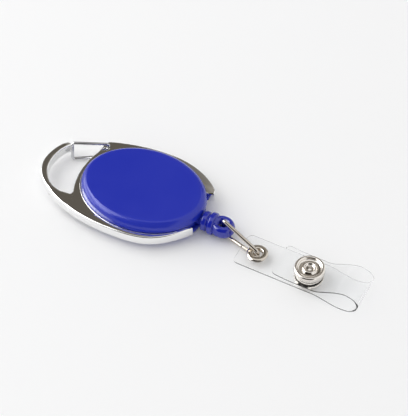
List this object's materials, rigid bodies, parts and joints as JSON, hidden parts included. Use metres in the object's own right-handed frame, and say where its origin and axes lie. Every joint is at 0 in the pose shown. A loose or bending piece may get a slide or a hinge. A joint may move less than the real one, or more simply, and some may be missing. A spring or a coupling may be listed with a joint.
{
  "type": "retractable badge reel",
  "caption": "Oval retractable badge reel in a chromed carabiner frame with a wire gate, a sprung cord drum, and a clear strap with a ring snap.",
  "frame": {"origin": "centre of the rear shell's flat back, on the spool's axis, which is also the surface the reel lies on", "axes": "+X the way the cord is pulled, from the hook's eye to the strap; +Y towards the spring gate; +Z out of the front shell's face"},
  "size_m": [0.112, 0.0352, 0.0091],
  "materials": {
    "chrome": "polished chrome plate",
    "nickel": "bright nickel plate",
    "spring_steel": "bright spring strip",
    "blue_shell": "satin moulded plastic",
    "blue_cord_end": "satin moulded plastic",
    "white_acetal": "natural moulded plastic",
    "nylon_cord": "braided nylon",
    "clear_vinyl": "clear soft vinyl"
  },
  "bodies": {
    "reel": {"carabiner_frame": "chrome", "front_shell": "blue_shell", "rear_shell": "blue_shell", "spring_post": "white_acetal", "power_spring": "spring_steel", "cord_run": "nylon_cord"},
    "gate": {"gate_wire": "chrome"},
    "drum": {"spool": "white_acetal", "spring_cover": "white_acetal", "cord_core": "nylon_cord", "cord_winding": "nylon_cord"},
    "pull_end": {"cord_end": "blue_cord_end", "cord_lead": "nylon_cord"},
    "link": {"link_wire": "nickel"},
    "strap": {"strap_lower": "clear_vinyl", "strap_eyelet": "nickel", "snap_stud": "nickel", "snap_rivet": "nickel"},
    "flap": {"strap_flap": "clear_vinyl", "snap_cap": "nickel", "snap_socket": "nickel"}
  },
  "joints": [
    {"name": "gate_swing", "type": "hinge", "parent": "reel", "child": "gate", "pos_m": [-0.01832, 0.01207, 0.00375], "axis": [0, 0, 1], "range_deg": [0, 35], "stiffness_Nm_per_rad": 0.02, "springref_deg": -14.32},
    {"name": "cord_pull", "type": "slide", "parent": "reel", "child": "pull_end", "axis": [1, 0, 0], "range_m": [0, 0.6], "stiffness_N_per_m": 1.2, "springref_m": -0.6},
    {"name": "drum_spin", "type": "hinge", "parent": "reel", "child": "drum", "pos_m": [0, 0, 0.00375], "axis": [0, 0, 1], "range_deg": [0, 3080]},
    {"name": "link_swing", "type": "hinge", "parent": "pull_end", "child": "link", "pos_m": [0.02775, -0.0012, 0.00375], "axis": [0, 0, 1], "range_deg": [-45, 45]},
    {"name": "strap_swivel", "type": "hinge", "parent": "link", "child": "strap", "pos_m": [0.04104, -0.00516, 0.00205], "axis": [0, 0, 1], "range_deg": [-50, 50]},
    {"name": "flap_open", "type": "hinge", "parent": "strap", "child": "flap", "pos_m": [0.07236, -0.00658, 0.00805], "axis": [0.0454, 0.999, 0], "range_deg": [0, 100]}
  ],
  "couplings": [
    {"joint": "drum_spin", "follows": "cord_pull", "rad_per_m": 89.286}
  ]
}
